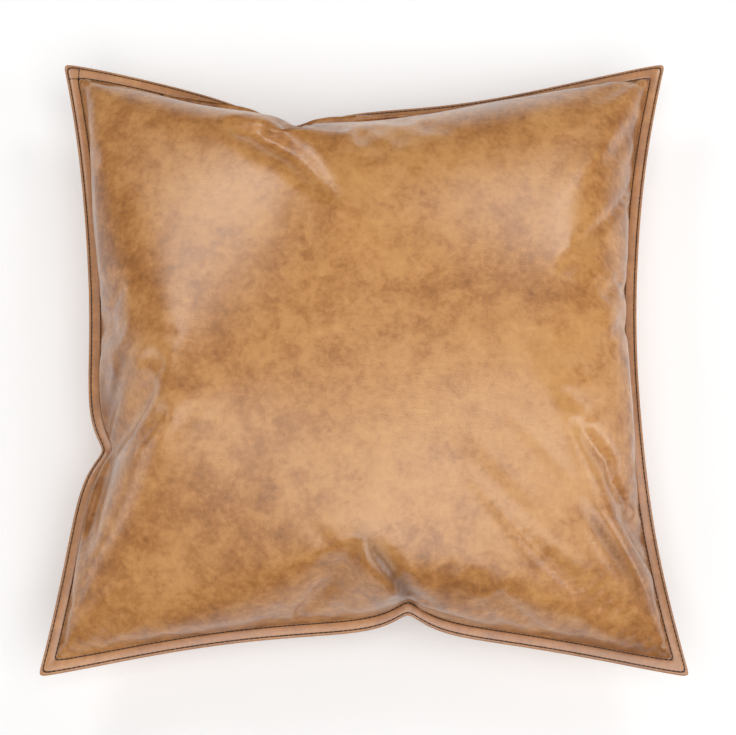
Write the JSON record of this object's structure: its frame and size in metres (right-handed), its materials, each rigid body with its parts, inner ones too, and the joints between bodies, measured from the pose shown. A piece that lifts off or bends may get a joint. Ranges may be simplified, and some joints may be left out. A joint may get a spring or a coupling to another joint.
{
  "type": "throw pillow",
  "caption": "Square throw pillow with a flanged, double-stitched faux leather cover, a zip in its back and a separate fibre insert.",
  "frame": {"origin": "middle of the footprint, on the surface that the pillow lies on, back face down", "axes": "+Z out of the front face, +Y towards the top edge, +X to the right seen from the front; the zip runs along X near the bottom edge of the back"},
  "size_m": [0.447, 0.447, 0.15],
  "materials": {
    "front_leather": "satin mottled tan faux leather",
    "back_leather": "satin mottled tan faux leather",
    "hem_leather": "satin mottled tan faux leather",
    "thread": "waxed dark brown polyester thread",
    "zip_tape": "woven polyester tape, matte brown",
    "zip_nylon": "semi-matte brown nylon",
    "zip_metal": "antique brass, softly polished",
    "insert_ticking": "plain white cotton ticking",
    "fibre_fill": "soft white polyester fibre"
  },
  "bodies": {
    "cover": {"front_panel": "front_leather", "back_panel": "back_leather", "back_hem_panel": "hem_leather", "outer_stitch_front": "thread", "inner_stitch_front": "thread", "outer_stitch_back": "thread", "inner_stitch_back": "thread", "zipper_tape_upper": "zip_tape", "zipper_tape_lower": "zip_tape", "zipper_coil_upper": "zip_nylon", "zipper_coil_lower": "zip_nylon", "zipper_top_stop_upper": "zip_metal", "zipper_top_stop_lower": "zip_metal", "zipper_bottom_stop": "zip_metal", "zip_stitch_upper": "thread", "zip_stitch_lower": "thread", "zip_bar_tack_left": "thread", "zip_bar_tack_right": "thread", "back_seam_thread_left": "thread", "back_seam_thread_right": "thread", "insert_front_shell": "insert_ticking", "insert_back_shell": "insert_ticking", "insert_seam_thread": "thread", "insert_fill": "fibre_fill"},
    "slider": {"zipper_slider": "zip_metal"},
    "pull": {"zipper_pull_tab": "zip_metal"}
  },
  "joints": [
    {"name": "zip_slide", "type": "slide", "parent": "cover", "child": "slider", "axis": [-1, 0, 0], "range_m": [0, 0.288]},
    {"name": "pull_hinge", "type": "hinge", "parent": "slider", "child": "pull", "pos_m": [0.1465, -0.17269, 0.02811], "axis": [0, -0.7071, 0.7071], "range_deg": [-90, 90]}
  ]
}
